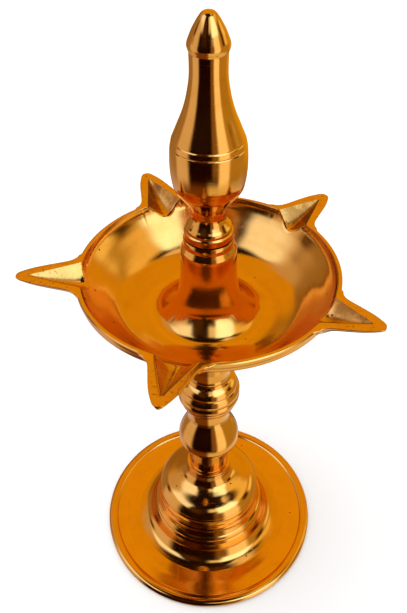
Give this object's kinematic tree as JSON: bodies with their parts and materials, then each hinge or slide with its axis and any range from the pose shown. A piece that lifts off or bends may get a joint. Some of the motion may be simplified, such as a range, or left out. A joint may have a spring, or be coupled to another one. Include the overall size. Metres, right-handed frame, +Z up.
{
  "type": "standing oil lamp",
  "caption": "Free-standing cast brass oil lamp: a round hollow foot, a turned stem with a ribbed knop, an open bowl with wick spouts and a tall finial, screwed together by studs.",
  "frame": {"origin": "on the table under the middle of the plan box that the spouts reach; the turning axis stands 4.7 mm to the right of it and 1 mm behind it", "axes": "+Z up along the stem, -Y towards the side that the picture shows in front, +X to the right of the picture"},
  "size_m": [0.115, 0.117, 0.2287],
  "materials": {
    "polished_brass": "mirror polished, turned and cast",
    "zinc_steel": "zinc plated"
  },
  "bodies": {
    "base": {"foot": "polished_brass", "foot_washer": "zinc_steel", "foot_nut": "zinc_steel"},
    "foot_stud": {"foot_stud": "zinc_steel"},
    "lower_stem": {"lower_stem": "polished_brass"},
    "stem_stud": {"stem_stud": "zinc_steel"},
    "ribbed_knop": {"ribbed_knop": "polished_brass"},
    "bowl_stud": {"bowl_stud": "zinc_steel"},
    "oil_bowl": {"oil_bowl": "polished_brass"},
    "finial_stud": {"finial_stud": "zinc_steel"},
    "finial": {"finial": "polished_brass"}
  },
  "joints": [
    {"name": "stem_turn", "type": "hinge", "parent": "base", "child": "foot_stud", "pos_m": [0.00472, 0.00095, 0.0409], "axis": [0, 0, 1], "range_deg": [0, 3168.1]},
    {"name": "stem_lift", "type": "slide", "parent": "foot_stud", "child": "lower_stem", "axis": [0, 0, 1], "range_m": [0, 0.011]},
    {"name": "knop_turn", "type": "hinge", "parent": "lower_stem", "child": "stem_stud", "pos_m": [0.00472, 0.00095, 0.0798], "axis": [0, 0, 1], "range_deg": [0, 3196.9]},
    {"name": "knop_lift", "type": "slide", "parent": "stem_stud", "child": "ribbed_knop", "axis": [0, 0, 1], "range_m": [0, 0.0111]},
    {"name": "bowl_turn", "type": "hinge", "parent": "ribbed_knop", "child": "bowl_stud", "pos_m": [0.00472, 0.00095, 0.1258], "axis": [0, 0, 1], "range_deg": [0, 4636.9]},
    {"name": "bowl_lift", "type": "slide", "parent": "bowl_stud", "child": "oil_bowl", "axis": [0, 0, 1], "range_m": [0, 0.0161]},
    {"name": "finial_turn", "type": "hinge", "parent": "oil_bowl", "child": "finial_stud", "pos_m": [0.00472, 0.00095, 0.1608], "axis": [0, 0, 1], "range_deg": [0, 3636.1]},
    {"name": "finial_lift", "type": "slide", "parent": "finial_stud", "child": "finial", "axis": [0, 0, 1], "range_m": [0, 0.0101]}
  ],
  "couplings": [
    {"joint": "stem_turn", "follows": "stem_lift", "rad_per_m": 5026.5},
    {"joint": "knop_turn", "follows": "knop_lift", "rad_per_m": 5026.5},
    {"joint": "bowl_turn", "follows": "bowl_lift", "rad_per_m": 5026.5},
    {"joint": "finial_turn", "follows": "finial_lift", "rad_per_m": 6283.2}
  ]
}
